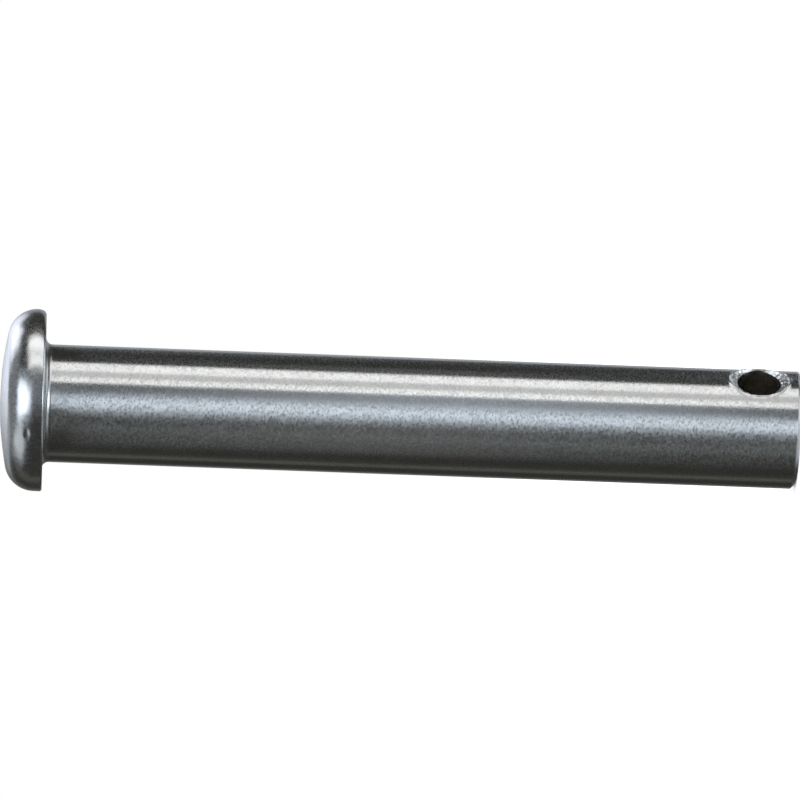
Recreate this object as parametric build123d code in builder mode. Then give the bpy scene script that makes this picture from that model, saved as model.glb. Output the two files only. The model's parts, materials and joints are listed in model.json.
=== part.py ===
from build123d import *
import os
from math import hypot

os.makedirs("parts", exist_ok=True)

# A headed clevis pin: one piece of steel, headed and turned from round bar.
# It stands on its flat tip. The origin is the middle of the tip's face, +Z runs along
# the pin to its head, and the cotter hole runs along Y.

# ---- Driving dimensions (mm) ----
shank_diameter = 6.3  # slides through the fork's ears and the rod end
grip_length = 38.2  # bearing face under the head to the middle of the cotter hole
point_length = 2.2  # middle of the cotter hole to the tip
tip_chamfer = 0.3  # 45 degree lead-in
neck_fillet = 0.35  # at the root of the head, inside the chamfer of the fork's hole

head_diameter = 9.75
head_height = 2.36  # bearing face to the top of the crown
rim_height = 0.45  # straight band around the edge of the head
crown_radius = 18.2  # the shallow dome over the head
bearing_edge_break = 0.08  # the outer edge of the bearing face isn't left sharp

cotter_hole_diameter = 2.3  # takes a split pin across the shank
countersink_lip = 0.5  # how far each countersink opens beyond the hole
countersink_angle = 120  # included angle

# ---- Worked out from them ----
shank_radius = shank_diameter / 2
head_radius = head_diameter / 2
cotter_hole_radius = cotter_hole_diameter / 2
countersink_radius = cotter_hole_radius + countersink_lip

hole_z = point_length
bearing_z = hole_z + grip_length
rim_z = bearing_z + rim_height
crown_z = bearing_z + head_height

# The shoulder is the arc that leaves the rim straight up and runs smoothly into the crown:
# its centre is at the rim's height, and crown_radius - shoulder_radius from the crown's centre.
crown_centre_z = crown_z - crown_radius
rim_above_centre = rim_z - crown_centre_z
shoulder_radius = (crown_radius**2 - head_radius**2 - rim_above_centre**2) / (
    2 * (crown_radius - head_radius)
)
shoulder_centre_x = head_radius - shoulder_radius
stretch = crown_radius / hypot(shoulder_centre_x, rim_above_centre)
shoulder_end = (shoulder_centre_x * stretch, crown_centre_z + rim_above_centre * stretch)

# ---- The pin ----
with BuildPart() as clevis_pin:
    # Half of the pin's outline, turned about its axis
    with BuildSketch(Plane.XZ) as outline:
        with BuildLine():
            Polyline(
                (0, 0),
                (shank_radius, 0),
                (shank_radius, bearing_z),
                (head_radius, bearing_z),
                (head_radius, rim_z),
            )
            shoulder = TangentArc((head_radius, rim_z), shoulder_end, tangent=(0, 1))
            TangentArc(shoulder @ 1, (0, crown_z), tangent=shoulder % 1)
            Line((0, crown_z), (0, 0))
        make_face()
    revolve(axis=Axis.Z)

    # Edges, from the tip up to the bearing face under the head
    round_edges = clevis_pin.edges().filter_by(GeomType.CIRCLE)
    tip_edge = round_edges.sort_by(Axis.Z)[0]
    bearing_edges = round_edges.filter_by_position(Axis.Z, bearing_z, bearing_z)
    neck_edge, bearing_edge = bearing_edges.sort_by(SortBy.RADIUS)
    chamfer(tip_edge, tip_chamfer)
    fillet(neck_edge, neck_fillet)
    chamfer(bearing_edge, bearing_edge_break)

    # The cotter hole, drilled right through the shank and countersunk from both sides
    front = Plane(origin=(0, -shank_radius, hole_z), z_dir=(0, -1, 0))
    back = Plane(origin=(0, shank_radius, hole_z), z_dir=(0, 1, 0))
    with Locations(front, back):
        CounterSinkHole(
            cotter_hole_radius, countersink_radius, counter_sink_angle=countersink_angle
        )

clevis_pin.part.label = "clevis_pin"
export_step(clevis_pin.part, "parts/clevis_pin.step")
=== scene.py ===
"""A steel clevis pin on a pale floor, lit for its ground shank and its smooth, upset head.

The pin stands on its tip, as its CAD model does: +Z runs along it to the head, and the cotter
hole runs along Y. The camera is turned on its side, so that the pin lies level in the picture
with its head on the left. Sizes are in millimetres until a mesh is made of them.
"""

import json
from math import atan2, cos, exp, hypot, pi, radians, sin, sqrt, tan

import bmesh
import bpy
from mathutils import Matrix, Vector, noise


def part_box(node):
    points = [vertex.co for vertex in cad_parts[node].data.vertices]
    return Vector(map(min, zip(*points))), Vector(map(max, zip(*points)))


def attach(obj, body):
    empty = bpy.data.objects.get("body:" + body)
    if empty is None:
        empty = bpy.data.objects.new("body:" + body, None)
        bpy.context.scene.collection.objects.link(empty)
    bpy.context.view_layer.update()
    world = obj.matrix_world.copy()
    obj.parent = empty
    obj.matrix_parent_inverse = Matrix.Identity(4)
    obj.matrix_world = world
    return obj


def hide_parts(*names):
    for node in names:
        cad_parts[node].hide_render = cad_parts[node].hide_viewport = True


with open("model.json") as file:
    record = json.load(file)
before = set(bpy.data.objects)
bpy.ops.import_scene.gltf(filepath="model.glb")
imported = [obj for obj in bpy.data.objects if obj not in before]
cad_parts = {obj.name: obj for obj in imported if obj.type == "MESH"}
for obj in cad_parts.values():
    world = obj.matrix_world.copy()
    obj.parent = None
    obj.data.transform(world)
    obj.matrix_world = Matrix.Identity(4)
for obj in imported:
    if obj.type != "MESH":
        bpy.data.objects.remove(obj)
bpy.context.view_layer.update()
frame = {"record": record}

MM = 0.001
TINY = 1e-6  # keeps a division or a comparison safe

# ---- The pin's sizes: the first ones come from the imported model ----
mounts = {mount["name"]: mount for mount in frame["record"]["mounts"]}
box_low, box_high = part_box("clevis_pin")
shank_middle = mounts["shank"]["pos_m"][2] / MM
half_shank = mounts["shank"]["dims"]["length_mm"] / 2
HEAD_RADIUS = box_high[0] / MM
CROWN_Z = box_high[2] / MM
BEARING_Z = mounts["bearing_face"]["pos_m"][2] / MM
SHANK_RADIUS = mounts["shank"]["dims"]["r_mm"]
TIP_CHAMFER = shank_middle - half_shank
NECK_FILLET = BEARING_Z - shank_middle - half_shank
HOLE_RADIUS = mounts["cotter_hole"]["dims"]["r_mm"]
HOLE_Z = mounts["cotter_hole"]["pos_m"][2] / MM

# These are sizes of the model that its record doesn't hold.
BEARING_EDGE_BREAK = 0.08
RIM_HEIGHT = 0.45
CROWN_RADIUS = 18.2
COUNTERSINK_LIP = 0.5
COUNTERSINK_HALF_ANGLE = radians(60)

EDGE_SOFTNESS = 0.035  # no turned edge is perfectly sharp
MOUTH_SOFTNESS = 0.02  # nor is the edge where a countersink comes out of the shank

RIM_Z = BEARING_Z + RIM_HEIGHT
COUNTERSINK_RADIUS = HOLE_RADIUS + COUNTERSINK_LIP

# The shoulder's arc is tangent to the rim and to the crown's sphere.
CROWN_CENTRE_Z = CROWN_Z - CROWN_RADIUS
RIM_ABOVE_CENTRE = RIM_Z - CROWN_CENTRE_Z
SHOULDER_RADIUS = (CROWN_RADIUS**2 - HEAD_RADIUS**2 - RIM_ABOVE_CENTRE**2) / (
    2 * (CROWN_RADIUS - HEAD_RADIUS)
)
SHOULDER_CENTRE_R = HEAD_RADIUS - SHOULDER_RADIUS

# ---- What the upsetting, the lathe and the drill left on this pin ----
HEAD_RUNOUT = 0.14  # the head sits off the shank's axis, toward the picture's top
HEAD_LEAN = 0.007  # and isn't quite square to it
ROLLED_EDGE = 0.16  # its edge by the bearing face is rolled in by this much on the same side
DENT_TURN, DENT_RISE = -22, 15.5  # a small dent on the shoulder, in degrees round it and up it
DENT_LENGTH, DENT_WIDTH, DENT_DEPTH = 0.26, 0.13, 0.045
WAVE_DEPTH, WAVE_SIZE = 0.020, 2.4  # the head's skin is gently wavy
PEEL_DEPTH, PEEL_SIZE = 0.0045, 0.42  # and has a faint orange peel
SKIN_DEPTH = 0.004  # and lies this much under its true form
SKIN_FADE = 0.3  # which starts this far below the rim's top and is full this far above it

TIP_CUT = 0.6  # the tip's chamfer, as a share of its nominal size
TIP_LEAN = 0.27  # it's cut this much less at the picture's top and more at the bottom

RIPPLES, RIPPLE_HEIGHT = 13, 0.006  # round each countersink's cone
RIPPLE_BEND, BENDS_PER_MM = 5, 1.6  # by how many radians they wander, and how often
PIT_HEIGHT, PITS_PER_MM = 0.045, 5
CRUMB_HEIGHT, CRUMBS_PER_MM = 0.026, 9
LIP_WEAR = 0.05  # the drill wore the bore's edge on one side
LIP_WEAR_TURN = 1.0  # in radians from +X toward the head
BURR_HEIGHT, BURR_WIDTH = 0.17, 0.09  # the raised lip round each countersink
BURR_LEAST = 0.2  # its lowest stretch, as a share of its height
BURR_EVEN, BURR_RAGGED, BURR_LUMPS = 0.9, 0.5, 1.7  # how its height goes up and down

# ---- How finely the surface is divided ----
FACE_HUB = 0.4  # the radius of the first ring on the tip's face
CROWN_HUB_TURN = radians(89.2)  # where the last ring lies on the crown's arc
FACE_STEPS, CHAMFER_STEPS, CORNER_STEPS, FILLET_STEPS = 8, 3, 4, 10
BEARING_STEPS, BREAK_STEPS, RIM_STEPS, HEAD_ARC_STEPS = 10, 2, 6, 32
COLUMNS = 384  # round the pin; a multiple of 4, so that one column runs over each mouth
FRONT_COLUMN, BACK_COLUMN = COLUMNS * 3 // 4, COLUMNS // 4  # the ones over the mouths
PATCH_COLUMNS = 34  # on each side of the column over a mouth
PATCH_TOP_Z = HOLE_Z + 2.1  # clear of the mouths
PATCH_ROW, SHANK_ROW = 0.13, 0.5  # how high the rows are below and above that
MOUTH_STEPS, CONE_STEPS, LIP_STEPS, BORE_STEPS = 14, 12, 4, 24

# ---- The camera ----
VIEW_TURN = radians(-147)  # where the camera stands round the pin, from +X
PICTURE_WIDTH = 800
PIXELS_PER_MM = 18.655
CAMERA_DISTANCE = 548  # far enough off that the pin hardly tapers
PIN_TILT = radians(2.087)  # the pin runs down to the right by this much
BEARING_PIXEL = (44.3, 402.95)  # where the axis meets the bearing face in the picture


def bearing(turn):
    """The level direction that lies `turn` degrees round from the camera to the picture's top."""
    angle = VIEW_TURN + radians(turn)
    return Vector((cos(angle), sin(angle), 0))


# ======================================================================================
# The pin's surface
# ======================================================================================


class Skin:
    """The points and faces of one closed surface, in millimetres."""

    def __init__(self):
        self.points = []
        self.faces = []
        self.finishes = []

    def loop(self, points):
        """Adds a loop of points and returns their numbers."""
        first = len(self.points)
        self.points.extend(points)
        return list(range(first, len(self.points)))

    def face(self, corners, finish):
        self.faces.append(corners)
        self.finishes.append(finish)

    def strip(self, lower, upper, finish, left_out=()):
        """Joins two loops of equally many points by a strip of four-cornered faces."""
        for i in range(len(lower)):
            if i not in left_out:
                j = (i + 1) % len(lower)
                self.face((lower[i], lower[j], upper[j], upper[i]), finish)

    def cap(self, loop, middle, finish):
        """Closes a loop with a fan of triangles."""
        for i in range(len(loop)):
            self.face((loop[i], loop[(i + 1) % len(loop)], middle), finish)


GROUND, TURNED, HEADED, CUT, DRILLED = range(5)


def mixed(a, b, share):
    """The point that lies the given share of the way from a to b."""
    return tuple(p + (q - p) * share for p, q in zip(a, b))


def line(start, end, steps):
    """Points from start to end, with both."""
    return [mixed(start, end, i / steps) for i in range(steps + 1)]


def arc(centre, radius, start, end, steps):
    """Points on a circle from one angle to another, with both ends."""
    angles = (start + (end - start) * i / steps for i in range(steps + 1))
    return [(centre[0] + radius * cos(a), centre[1] + radius * sin(a)) for a in angles]


def soft_corner(before, corner, after):
    """A short curve that rounds off the corner between two edges."""

    def short_of(other):
        length = hypot(other[0] - corner[0], other[1] - corner[1])
        return mixed(corner, other, EDGE_SOFTNESS / length)

    start, end = short_of(before), short_of(after)
    shares = (i / CORNER_STEPS for i in range(CORNER_STEPS + 1))
    return [mixed(mixed(start, corner, t), mixed(corner, end, t), t) for t in shares]


def outline():
    """The pin's outline from the tip to the crown, as (finish, [(radius, z), ...]) runs."""
    tip_edge = (SHANK_RADIUS - TIP_CHAMFER, 0)
    shank_foot = (SHANK_RADIUS, TIP_CHAMFER)
    shank_top = (SHANK_RADIUS, BEARING_Z - NECK_FILLET)
    neck_centre = (SHANK_RADIUS + NECK_FILLET, BEARING_Z - NECK_FILLET)
    bearing_edge = (HEAD_RADIUS - BEARING_EDGE_BREAK, BEARING_Z)
    rim_foot = (HEAD_RADIUS, BEARING_Z + BEARING_EDGE_BREAK)
    rim_top = (HEAD_RADIUS, RIM_Z)
    shoulder_centre = (SHOULDER_CENTRE_R, RIM_Z)
    shoulder_turn = atan2(RIM_ABOVE_CENTRE, SHOULDER_CENTRE_R)
    crown_centre = (0, CROWN_CENTRE_Z)

    tip_corner = soft_corner((0, 0), tip_edge, shank_foot)
    foot_corner = soft_corner(tip_edge, shank_foot, shank_top)
    patch_rows = round((PATCH_TOP_Z - foot_corner[-1][1]) / PATCH_ROW)
    shank_rows = round((shank_top[1] - PATCH_TOP_Z) / SHANK_ROW)
    bearing_corner = soft_corner((0, BEARING_Z), bearing_edge, rim_foot)
    rim_corner = soft_corner(bearing_edge, rim_foot, rim_top)
    return [
        (TURNED, line((FACE_HUB, 0), tip_corner[0], FACE_STEPS)),
        (TURNED, tip_corner[1:]),
        (TURNED, line(tip_corner[-1], foot_corner[0], CHAMFER_STEPS)[1:]),
        (TURNED, foot_corner[1:]),
        (GROUND, line(foot_corner[-1], (SHANK_RADIUS, PATCH_TOP_Z), patch_rows)[1:]),
        (GROUND, line((SHANK_RADIUS, PATCH_TOP_Z), shank_top, shank_rows)[1:]),
        (TURNED, arc(neck_centre, NECK_FILLET, pi, pi / 2, FILLET_STEPS)[1:]),
        (TURNED, line((neck_centre[0], BEARING_Z), bearing_corner[0], BEARING_STEPS)[1:]),
        (TURNED, bearing_corner[1:]),
        (TURNED, line(bearing_corner[-1], rim_corner[0], BREAK_STEPS)[1:]),
        (HEADED, rim_corner[1:]),
        (HEADED, line(rim_corner[-1], rim_top, RIM_STEPS)[1:]),
        (HEADED, arc(shoulder_centre, SHOULDER_RADIUS, 0, shoulder_turn, HEAD_ARC_STEPS)[1:]),
        (HEADED, arc(crown_centre, CROWN_RADIUS, shoulder_turn, CROWN_HUB_TURN, HEAD_ARC_STEPS)[1:]),
    ]


def dent(place):
    """How deep the head's one dent is at a place."""
    rise = radians(DENT_RISE)
    middle = bearing(DENT_TURN) * (SHOULDER_CENTRE_R + SHOULDER_RADIUS * cos(rise))
    middle.z = RIM_Z + SHOULDER_RADIUS * sin(rise)
    away = place - middle
    round_head = away.dot(bearing(DENT_TURN + 90))
    across = sqrt(max(away.length_squared - round_head**2, 0))
    return DENT_DEPTH * exp(-((round_head / DENT_LENGTH) ** 2) - (across / DENT_WIDTH) ** 2)


def bumps(place, x=0, y=0, z=0):
    """A smooth random height between about -1 and 1; the shift picks another stretch of it."""
    return noise.noise(place + Vector((x, y, z)))


def head_lumps(place):
    """How far the head's skin lies under its true form, because it was upset, not turned."""
    fade = min(max((place.z - RIM_Z + SKIN_FADE) / (2 * SKIN_FADE), 0.0), 1.0)
    waves = WAVE_DEPTH * bumps(place / WAVE_SIZE)
    peel = PEEL_DEPTH * bumps(place / PEEL_SIZE, 9, 4, 2)
    return fade * (SKIN_DEPTH - waves - peel) + dent(place)


def rolled_in(place, aside):
    """How far the head's lower edge is rolled in at a place."""
    facing = max(place.xy.dot(aside.xy) / max(place.xy.length, TINY), 0.0)
    if place.z <= BEARING_Z:
        inner = SHANK_RADIUS + NECK_FILLET
        share = max((place.xy.length - inner) / (HEAD_RADIUS - inner), 0.0)
    else:
        share = max((RIM_Z - place.z) / (RIM_Z - BEARING_Z), 0.0)
    return ROLLED_EDGE * facing**2 * share**2


def as_cut(radius, z, outward, aside):
    """Where a point of the outline's tip lies, with the chamfer as it was cut."""
    size = TIP_CUT - TIP_LEAN * outward.dot(aside)
    face_radius = SHANK_RADIUS - TIP_CHAMFER
    inset = (SHANK_RADIUS - max(radius, face_radius)) * size
    share = min(radius / face_radius, 1.0)
    return outward * (SHANK_RADIUS - inset) * share + Vector((0, 0, z * size))


def as_made(radius, z, angle):
    """Where a point of the turned outline lies on this pin, with its ends' small faults."""
    outward = Vector((cos(angle), sin(angle), 0))
    place = outward * radius + Vector((0, 0, z))
    aside = bearing(90)
    if z <= TIP_CHAMFER + EDGE_SOFTNESS:
        return as_cut(radius, z, outward, aside)
    inner = SHANK_RADIUS + NECK_FILLET
    share = 1.0 if z > BEARING_Z else (radius - inner) / (HEAD_RADIUS - inner)
    if z < BEARING_Z or share <= 0:
        return place
    lean = atan2(max(z - RIM_Z, 0), max(radius - SHOULDER_CENTRE_R, TINY))
    under = head_lumps(place) if z > BEARING_Z else 0.0
    moved = place - outward * (under * cos(lean) + rolled_in(place, aside))
    moved.z += share * HEAD_LEAN * place.dot(aside) - under * sin(lean)
    return moved + aside * HEAD_RUNOUT * share


def soft_minimum(a, b, width):
    """The lower of two heights, rounded off where they cross."""
    overlap = max(width - abs(a - b), 0) / width
    return min(a, b) - overlap * overlap * width / 4


def chatter(turn, radius, side):
    """The ripples, pits and crumbs that a hand-fed countersink leaves on its cone."""
    place = Vector((cos(turn), sin(turn), 0)) * radius
    wobble = bumps(place * BENDS_PER_MM, 3, side, 7)
    ripple = sin(RIPPLES * turn + RIPPLE_BEND * wobble + side)
    pits = bumps(place * PITS_PER_MM, side * 4, 1, 5)
    crumbs = bumps(place * CRUMBS_PER_MM, 2, side * 3, 8)
    return RIPPLE_HEIGHT * ripple + PIT_HEIGHT * pits + CRUMB_HEIGHT * crumbs


def burr(turn, radius, side):
    """How high the raised lip round a countersink stands: most on its +X side."""
    place = Vector((cos(turn), sin(turn), side * 3))
    share = cos(turn) * (BURR_EVEN + BURR_RAGGED * bumps(place * BURR_LUMPS))
    height = BURR_HEIGHT * min(max(share, BURR_LEAST), 1.0)
    return height * exp(-(((radius - mouth_radius(turn)) / BURR_WIDTH) ** 2))


def mouth_height(x, z, side):
    """How far out along Y the surface lies beside a mouth of the hole."""
    turn = atan2(z - HOLE_Z, x)
    radius = hypot(x, z - HOLE_Z)
    shank = sqrt(SHANK_RADIUS**2 - x**2)
    cone = SHANK_RADIUS - (COUNTERSINK_RADIUS - radius) / tan(COUNTERSINK_HALF_ANGLE)
    surface = soft_minimum(shank, cone + chatter(turn, radius, side), MOUTH_SOFTNESS)
    return surface + burr(turn, radius, side)


def mouth_radius(turn):
    """Where the countersink's cone comes out of the shank, seen along the hole."""
    slope = 1 / tan(COUNTERSINK_HALF_ANGLE)
    apex = SHANK_RADIUS - COUNTERSINK_RADIUS * slope
    a = cos(turn) ** 2 + slope**2
    b = apex * slope
    c = apex**2 - SHANK_RADIUS**2
    return (-b + sqrt(b * b - a * c)) / a


def round_hole(turn, radius):
    """The (x, z) of a place round the hole."""
    return (radius * cos(turn), HOLE_Z + radius * sin(turn))


def lip_radius(turn):
    """Where a countersink's cone meets the bore's rounded edge."""
    wear = LIP_WEAR * max(cos(turn - LIP_WEAR_TURN), 0.0) ** 4
    return HOLE_RADIUS + EDGE_SOFTNESS + wear


def mouth_loops(border, side):
    """Loops from a patch's border to the bore; side is -1 at the front and 1 at the back."""
    turns = [atan2(z - HOLE_Z, x) for x, z in border]
    edges = [mouth_radius(turn) for turn in turns]
    lips = [lip_radius(turn) for turn in turns]
    ends = [round_hole(turn, edge) for turn, edge in zip(turns, edges)]

    def raised(places):
        return [(x, side * mouth_height(x, z, side), z) for x, z in places]

    loops = []
    for step in range(1, MOUTH_STEPS + 1):
        share = 1 - (1 - step / MOUTH_STEPS) ** 2
        loops.append((GROUND, raised(mixed(a, b, share) for a, b in zip(border, ends))))
    for step in range(1, CONE_STEPS + 1):
        radii = [edge + (lip - edge) * step / CONE_STEPS for edge, lip in zip(edges, lips)]
        loops.append((CUT, raised(round_hole(turn, r) for turn, r in zip(turns, radii))))
    for step in range(1, LIP_STEPS + 1):
        bend = pi / 2 * step / LIP_STEPS
        inward, down = EDGE_SOFTNESS * sin(bend), EDGE_SOFTNESS * (1 - cos(bend))
        points = []
        for turn, lip in zip(turns, lips):
            height = mouth_height(*round_hole(turn, lip), side)
            x, z = round_hole(turn, lip - inward)
            points.append((x, side * (height - down), z))
        loops.append((CUT, points))
    return loops


def patch_border(first_row, last_row):
    """The border of the patch round a mouth, as (row, columns from the mouth's middle)."""
    across = range(-PATCH_COLUMNS, PATCH_COLUMNS + 1)
    between = range(first_row + 1, last_row)
    foot = [(first_row, i) for i in across]
    right = [(row, PATCH_COLUMNS) for row in between]
    top = [(last_row, -i) for i in across]
    left = [(row, -PATCH_COLUMNS) for row in reversed(between)]
    return foot + right + top + left


def run_hole(skin, rings, border):
    """Joins the patches of both mouths by a tunnel that has the countersinks and the bore."""
    front = [rings[row][(FRONT_COLUMN + i) % COLUMNS] for row, i in border]
    back = [rings[row][BACK_COLUMN - i] for row, i in border]
    places = [(skin.points[n][0], skin.points[n][2]) for n in front]
    into, out = mouth_loops(places, -1), mouth_loops(places, 1)
    start, end = into[-1][1], out[-1][1]
    last = front
    for finish, points in into:
        loop = skin.loop(points)
        skin.strip(last, loop, finish)
        last = loop
    for step in range(1, BORE_STEPS):
        loop = skin.loop([mixed(a, b, step / BORE_STEPS) for a, b in zip(start, end)])
        skin.strip(last, loop, DRILLED)
        last = loop
    finish = DRILLED
    for next_finish, points in reversed(out):
        loop = skin.loop(points)
        skin.strip(last, loop, finish)
        last, finish = loop, next_finish
    skin.strip(last, back, finish)


def pin_skin():
    """The whole surface: what a lathe would turn, with the cotter hole run through it."""
    skin = Skin()
    stations = [(finish, *point) for finish, run in outline() for point in run]
    angles = [2 * pi * i / COLUMNS for i in range(COLUMNS)]
    rings = [skin.loop([tuple(as_made(r, z, a)) for a in angles]) for _, r, z in stations]

    foot_z, top_z = TIP_CHAMFER + EDGE_SOFTNESS - TINY, PATCH_TOP_Z + TINY
    rows = [i for i, (_, r, z) in enumerate(stations) if r == SHANK_RADIUS and foot_z < z < top_z]
    width = range(-PATCH_COLUMNS, PATCH_COLUMNS)
    mouths = {(column + i) % COLUMNS for column in (FRONT_COLUMN, BACK_COLUMN) for i in width}
    for i in range(1, len(rings)):
        skin.strip(rings[i - 1], rings[i], stations[i][0], mouths if i in rows[1:] else ())
    bottom = skin.loop([(0, 0, 0)])[0]
    skin.cap(rings[0][::-1], bottom, TURNED)
    top = skin.loop([tuple(as_made(0, stations[-1][2], 0))])[0]
    skin.cap(rings[-1], top, HEADED)
    run_hole(skin, rings, patch_border(rows[0], rows[-1]))
    return skin


def pin_object(materials):
    """Makes the pin's mesh object from its skin."""
    skin = pin_skin()
    used = sorted({n for face in skin.faces for n in face})
    number = {old: new for new, old in enumerate(used)}
    mesh = bpy.data.meshes.new("clevis_pin_steel")
    mesh.from_pydata(
        [Vector(skin.points[n]) * MM for n in used],
        [],
        [tuple(number[n] for n in face) for face in skin.faces],
    )
    for material in materials:
        mesh.materials.append(material)
    mesh.polygons.foreach_set("material_index", skin.finishes)
    mesh.polygons.foreach_set("use_smooth", [True] * len(mesh.polygons))
    mesh.update()
    pin = bpy.data.objects.new("clevis_pin_steel", mesh)
    bpy.context.scene.collection.objects.link(pin)
    return pin


# ======================================================================================
# Materials
# ======================================================================================

# How many there are to a metre on the ground shank
GRAINS, SCRATCHES, STAINS, CLOUDS = 8500.0, 9500.0, 7000.0, 900.0
GRAIN_SHAPE = (0.72, 0.72, 1.0)  # they're a little longer round the pin than along it
SCRATCH_DEPTH = 5.5e-6
BORE_TINT = (1.0, 0.95, 0.83)  # a brownish tint for the bore, which is also given a darker tone below


class Nodes:
    """Builds the node tree of a material or a world."""

    def __init__(self, owner):
        owner.use_nodes = True
        self.tree = owner.node_tree
        self.tree.nodes.clear()

    def add(self, kind, inputs=None, **settings):
        """Adds a node; an input is either a value or another node's output."""
        made = self.tree.nodes.new("ShaderNode" + kind)
        for name, value in settings.items():
            setattr(made, name, value)
        for name, value in (inputs or {}).items():
            if isinstance(value, bpy.types.NodeSocket):
                self.tree.links.new(value, made.inputs[name])
            else:
                made.inputs[name].default_value = value
        return made

    def noise(self, place, scale, detail=3.0):
        """A cloudy random value at each place."""
        return self.add("TexNoise", {"Vector": place, "Scale": scale, "Detail": detail}).outputs[0]

    def math(self, operation, *values):
        """The result of one sum."""
        return self.add("Math", dict(enumerate(values)), operation=operation).outputs[0]

    def spread(self, value, low, high, start=0.3, end=0.7):
        """Maps a noise's usual range, or the given one, to low..high."""
        inputs = {"Value": value, "From Min": start, "From Max": end, "To Min": low, "To Max": high}
        return self.add("MapRange", inputs).outputs[0]

    def grey(self, value, tint):
        """A colour of the given brightness."""
        parts = [self.math("MULTIPLY", value, share) for share in tint]
        return self.add("CombineColor", dict(enumerate(parts))).outputs[0]

    def surface(self, shader, kind="Material"):
        """Ends the tree with its shader."""
        output = self.add("Output" + kind)
        self.tree.links.new(shader, output.inputs["Surface"])


def steel(name):
    """A new material, its nodes and the place on the object."""
    material = bpy.data.materials.new(name)
    nodes = Nodes(material)
    return material, nodes, nodes.add("TexCoord").outputs["Object"]


def ground_steel():
    """Ground round and round: it blurs lights along the pin and keeps them sharp across it."""
    material, nodes, place = steel("ground_steel")
    drawn = nodes.add("Mapping", {"Vector": place, "Scale": GRAIN_SHAPE}).outputs[0]
    grain = nodes.noise(drawn, GRAINS, detail=5.0)
    scratches = nodes.noise(drawn, SCRATCHES)
    stain = nodes.noise(drawn, STAINS)
    clouds = nodes.noise(place, CLOUDS, detail=2.0)
    coarse = nodes.math("POWER", nodes.spread(grain, 0.0, 1.0, 0.25, 0.8), 2.0)
    cloudy = nodes.spread(clouds, 0.96, 1.04)
    bright = nodes.math("MULTIPLY", nodes.spread(stain, 0.57, 0.63), cloudy)
    tone = nodes.math("MULTIPLY", bright, nodes.spread(coarse, 0.93, 1.28, 0.0, 1.0))
    bump = nodes.add("Bump", {"Height": scratches, "Strength": 0.5, "Distance": SCRATCH_DEPTH})
    shader = nodes.add("BsdfPrincipled", {
        "Base Color": nodes.grey(tone, (0.99, 1.0, 0.99)),
        "Metallic": 1.0,
        "Roughness": nodes.spread(coarse, 0.23, 0.54, 0.0, 1.0),
        "Anisotropic": 1.0,
        "Anisotropic Rotation": 0.25,
        "Tangent": nodes.add("Tangent", direction_type="RADIAL", axis="Z").outputs[0],
        "Normal": bump.outputs[0],
    })
    nodes.surface(shader.outputs[0])
    return material


def plain_steel(name, roughness, tone, pits, pit_depth, tint=(0.99, 1.0, 1.0)):
    """Steel that isn't ground: turned, upset, cut or drilled, with so many pits to a metre."""
    material, nodes, place = steel(name)
    peel = nodes.noise(place, pits, detail=4.0)
    bump = nodes.add("Bump", {"Height": peel, "Strength": 0.5, "Distance": pit_depth})
    shader = nodes.add("BsdfPrincipled", {
        "Base Color": nodes.grey(nodes.spread(peel, tone * 0.93, tone * 1.07), tint),
        "Metallic": 1.0,
        "Roughness": nodes.spread(peel, roughness - 0.04, roughness + 0.04),
        "Normal": bump.outputs[0],
    })
    nodes.surface(shader.outputs[0])
    return material


# ======================================================================================
# Floor, lights and camera
# ======================================================================================

PIN_MIDDLE = Vector((0, 0, (box_low[2] + box_high[2]) / 2))
WORLD_LEVEL = 0.043  # the dim studio that the metal mirrors between the lights
STUDIO_TINT = (1.0, 0.98, 0.90, 1)
WHITE = (1, 1, 1, 1)

FLOOR_LIGHT = 1.2  # the light on the floor, which never reaches the metal
FLOOR_RADIUS = 0.6
FLOOR_TONE = 0.86
FLOOR_LIFT = 0.2  # how far the camera sees it lifted toward white

CARD_DISTANCE = 0.32
NEAR, FAR = 0.035, 1.0  # a near card lights the middle of the shank more than its ends

BLUISH = (0.90, 1.0, 1.13)
COOL = (0.93, 1.0, 1.07)
LAVENDER = (0.94, 1.0, 1.14)
NEUTRAL = (1.0, 1.0, 1.0)
WARM = (1.0, 0.97, 0.88)


def add_floor():
    """A plain pale floor. The metal doesn't mirror it, as it wouldn't lying on its side."""
    mesh = bpy.data.meshes.new("floor")
    made = bmesh.new()
    bmesh.ops.create_circle(made, cap_ends=True, segments=96, radius=FLOOR_RADIUS)
    made.to_mesh(mesh)
    made.free()
    floor = bpy.data.objects.new("floor", mesh)
    bpy.context.scene.collection.objects.link(floor)
    floor.visible_glossy = False
    material = bpy.data.materials.new("pale_floor")
    nodes = Nodes(material)
    paint = nodes.add("BsdfDiffuse", {"Color": (FLOOR_TONE, FLOOR_TONE, FLOOR_TONE, 1)})
    glow = nodes.add("Emission", {"Color": WHITE, "Strength": 1.0})
    lift = nodes.math("MULTIPLY", nodes.add("LightPath").outputs["Is Camera Ray"], FLOOR_LIFT)
    both = nodes.add("MixShader", {"Fac": lift, 1: paint.outputs[0], 2: glow.outputs[0]})
    nodes.surface(both.outputs[0])
    mesh.materials.append(material)


def set_world():
    """White behind the object, and a dim studio round it."""
    world = bpy.data.worlds.new("studio")
    bpy.context.scene.world = world
    nodes = Nodes(world)
    rays = nodes.add("LightPath").outputs

    def background(colour, strength):
        return nodes.add("Background", {"Color": colour, "Strength": strength}).outputs[0]

    def either(ray, otherwise, shader):
        return nodes.add("MixShader", {"Fac": rays[ray], 1: otherwise, 2: shader}).outputs[0]

    dim = background(STUDIO_TINT, WORLD_LEVEL)
    unseen = either("Is Diffuse Ray", dim, background(WHITE, FLOOR_LIGHT))
    nodes.surface(either("Is Camera Ray", unseen, background(WHITE, 1.0)), "World")


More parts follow.
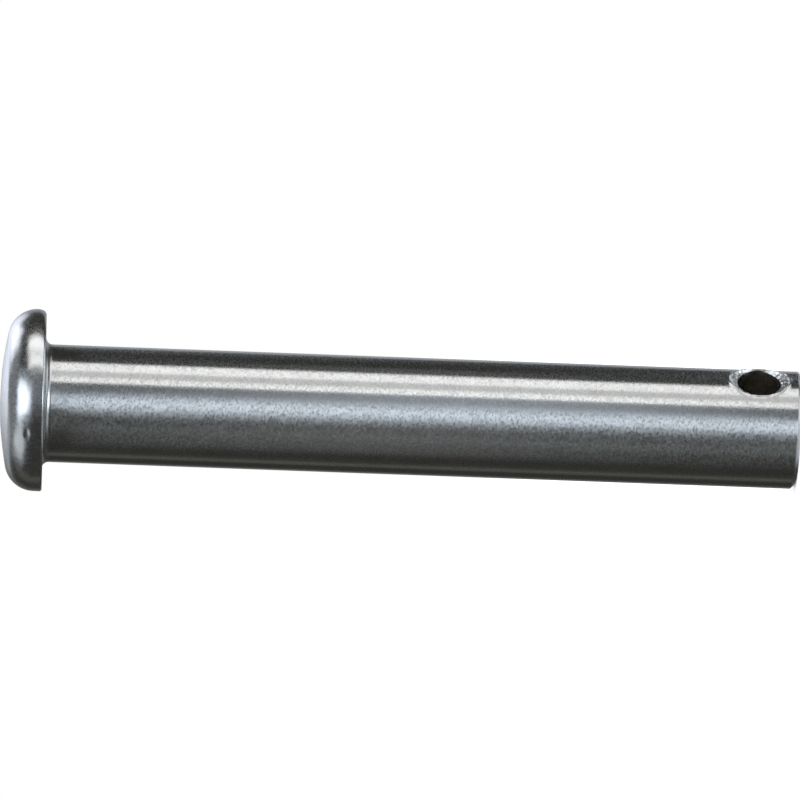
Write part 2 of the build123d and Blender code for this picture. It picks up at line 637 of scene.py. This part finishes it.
def card_glow(name, strength, colour, fade):
    """A see-through glow that fades out toward a card's edges, by a share of its half sizes."""
    material = bpy.data.materials.new(name)
    nodes = Nodes(material)
    place = nodes.add("TexCoord").outputs["Generated"]
    split = nodes.add("SeparateXYZ", {"Vector": place}).outputs
    level = strength
    for axis, soft in zip(("X", "Y"), fade):
        off = nodes.math("ABSOLUTE", nodes.math("SUBTRACT", split[axis], 0.5))
        edge = {"Value": off, "From Min": 0.5, "From Max": 0.5 - soft / 2}
        share = nodes.add("MapRange", edge, interpolation_type="SMOOTHSTEP").outputs[0]
        level = nodes.math("MULTIPLY", share, level)
    light = nodes.add("Emission", {"Color": (*colour, 1), "Strength": level}).outputs[0]
    clear = nodes.add("BsdfTransparent").outputs[0]
    nodes.surface(nodes.add("AddShader", {0: clear, 1: light}).outputs[0])
    return material


def add_card(name, turn, rise, width, height, strength, colour, fade, distance=CARD_DISTANCE):
    """A glowing card that faces the pin, `turn` degrees round it and `rise` degrees up.

    Its width and height are the angles, in degrees, that the pin's middle sees it under.
    """
    away = bearing(turn) * cos(radians(rise)) + Vector((0, 0, sin(radians(rise))))
    mesh = bpy.data.meshes.new(name)
    x = distance * tan(radians(width / 2))
    y = distance * tan(radians(height / 2))
    mesh.from_pydata([(-x, -y, 0), (x, -y, 0), (x, y, 0), (-x, y, 0)], [], [(0, 1, 2, 3)])
    mesh.materials.append(card_glow(name, strength, colour, fade))
    card = bpy.data.objects.new(name, mesh)
    bpy.context.scene.collection.objects.link(card)
    facing = away.to_track_quat("Z", "Y").to_matrix().to_4x4()
    card.matrix_world = Matrix.Translation(PIN_MIDDLE + away * distance) @ facing
    card.visible_camera = False
    card.visible_shadow = False


def add_lights():
    """The studio that the metal mirrors. Turn 0 is the camera's side, and 90 the picture's top.

    The numbers of each card are its turn, rise, width, height and strength.
    """
    # The soft light along the pin's middle
    add_card("front_softbox", 2, 58, 46, 42, 2.08, BLUISH, fade=(0.5, 0.4))
    add_card("front_lower", 0, 35, 46, 30, 1.8, BLUISH, fade=(0.8, 0.5))
    add_card("front_wash", 14, 12, 76, 56, 0.2, BLUISH, fade=(1.0, 0.8))
    add_card("front_band", 10, 10, 70, 34, 0.1, BLUISH, fade=(1.0, 0.5), distance=NEAR)
    add_card("low_softbox", 6, -40, 40, 40, 4.6, BLUISH, fade=(1.0, 0.35), distance=FAR)
    add_card("low_side", -38, -48, 50, 44, 0.6, COOL, fade=(0.7, 0.5))
    # The two bright strips, and what lies between and beside them
    add_card("beyond_strips", 96, 0, 20, 26, 0.11, NEUTRAL, fade=(0.9, 0.4), distance=NEAR)
    add_card("upper_strip", 78.7, 2, 23.3, 62, 1.72, NEUTRAL, fade=(0.16, 0.25))
    add_card("strip_gap", 61.3, 2, 12, 62, 1.0, NEUTRAL, fade=(0.05, 0.25))
    add_card("lower_strip", 49.2, 2, 13.5, 66, 1.7, NEUTRAL, fade=(0.2, 0.25))
    add_card("beside_strips", 31, -10, 36, 42, 0.56, BLUISH, fade=(0.5, 0.4), distance=NEAR)
    # What the crown, the shoulder and the countersinks mirror
    add_card("rear_window", 161, 31, 46, 40, 1.2, LAVENDER, fade=(0.4, 0.5))
    add_card("high_window", 138, 45, 42, 28, 1.4, LAVENDER, fade=(0.5, 0.4))
    add_card("rear_wall", 166, -6, 44, 50, 0.38, COOL, fade=(0.5, 0.4))
    add_card("low_window", 134, -46, 24, 22, 1.2, LAVENDER, fade=(0.5, 0.5), distance=0.062)
    add_card("under_wall", -166, 42, 26, 40, 0.4, COOL, fade=(0.6, 0.5))
    add_card("ceiling", 180, 75, 90, 50, 0.18, COOL, fade=(0.5, 0.5))
    # The pin's lower side, and its tip
    add_card("side_fill", -76, 51, 56, 44, 0.72, COOL, fade=(0.6, 0.6))
    add_card("low_fill", -47, 0, 84, 28, 0.104, NEUTRAL, fade=(0.65, 0.4), distance=NEAR)
    add_card("under_strip", -120, 0, 17, 90, 0.085, WARM, fade=(0.6, 0.4))
    add_card("below", -168, 0, 34, 70, 0.13, NEUTRAL, fade=(0.5, 0.4))
    add_card("tip_fill", 145, -74, 76, 46, 1.1, COOL, fade=(0.4, 0.4))


def add_camera():
    """Looks square on to the pin from beside its head, rolled over on its side."""
    to_camera, picture_up, to_tip = bearing(0), bearing(90), Vector((0, 0, -1))
    data = bpy.data.cameras.new("camera")
    data.sensor_width = 36
    camera = bpy.data.objects.new("camera", data)
    bpy.context.scene.collection.objects.link(camera)
    bpy.context.scene.camera = camera

    middle = PICTURE_WIDTH / 2
    right_px = middle - BEARING_PIXEL[0]
    up_px = BEARING_PIXEL[1] - middle
    along = (right_px * cos(PIN_TILT) - up_px * sin(PIN_TILT)) / PIXELS_PER_MM
    aside = (right_px * sin(PIN_TILT) + up_px * cos(PIN_TILT)) / PIXELS_PER_MM
    bearing_centre = Vector((0, 0, BEARING_Z))
    aim = bearing_centre + to_tip * along + picture_up * aside
    place = bearing_centre + to_camera * CAMERA_DISTANCE

    back = (place - aim).normalized()
    up = picture_up * cos(PIN_TILT) - to_tip * sin(PIN_TILT)
    right = up.cross(back).normalized()
    up = back.cross(right)
    turned = Matrix((right, up, back)).transposed().to_4x4()
    camera.matrix_world = Matrix.Translation(place * MM) @ turned
    data.lens = PIXELS_PER_MM * (place - aim).length * data.sensor_width / PICTURE_WIDTH
    data.clip_start, data.clip_end = 0.01, 5


materials = [
    ground_steel(),
    plain_steel("turned_steel", roughness=0.3, tone=0.6, pits=6000.0, pit_depth=4e-6),
    plain_steel("headed_steel", roughness=0.26, tone=0.62, pits=5000.0, pit_depth=5e-6),
    plain_steel("cut_steel", roughness=0.34, tone=0.7, pits=6000.0, pit_depth=20e-6),
    # The bore is given a darker, brownish tone than the rest of the steel.
    plain_steel(
        "drilled_steel", roughness=0.32, tone=0.5, pits=5000.0, pit_depth=120e-6, tint=BORE_TINT
    ),
]
pin = pin_object(materials)
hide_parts("clevis_pin")
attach(pin, "root")

add_floor()
set_world()
add_lights()
add_camera()
bpy.context.scene.view_settings.view_transform = "Standard"
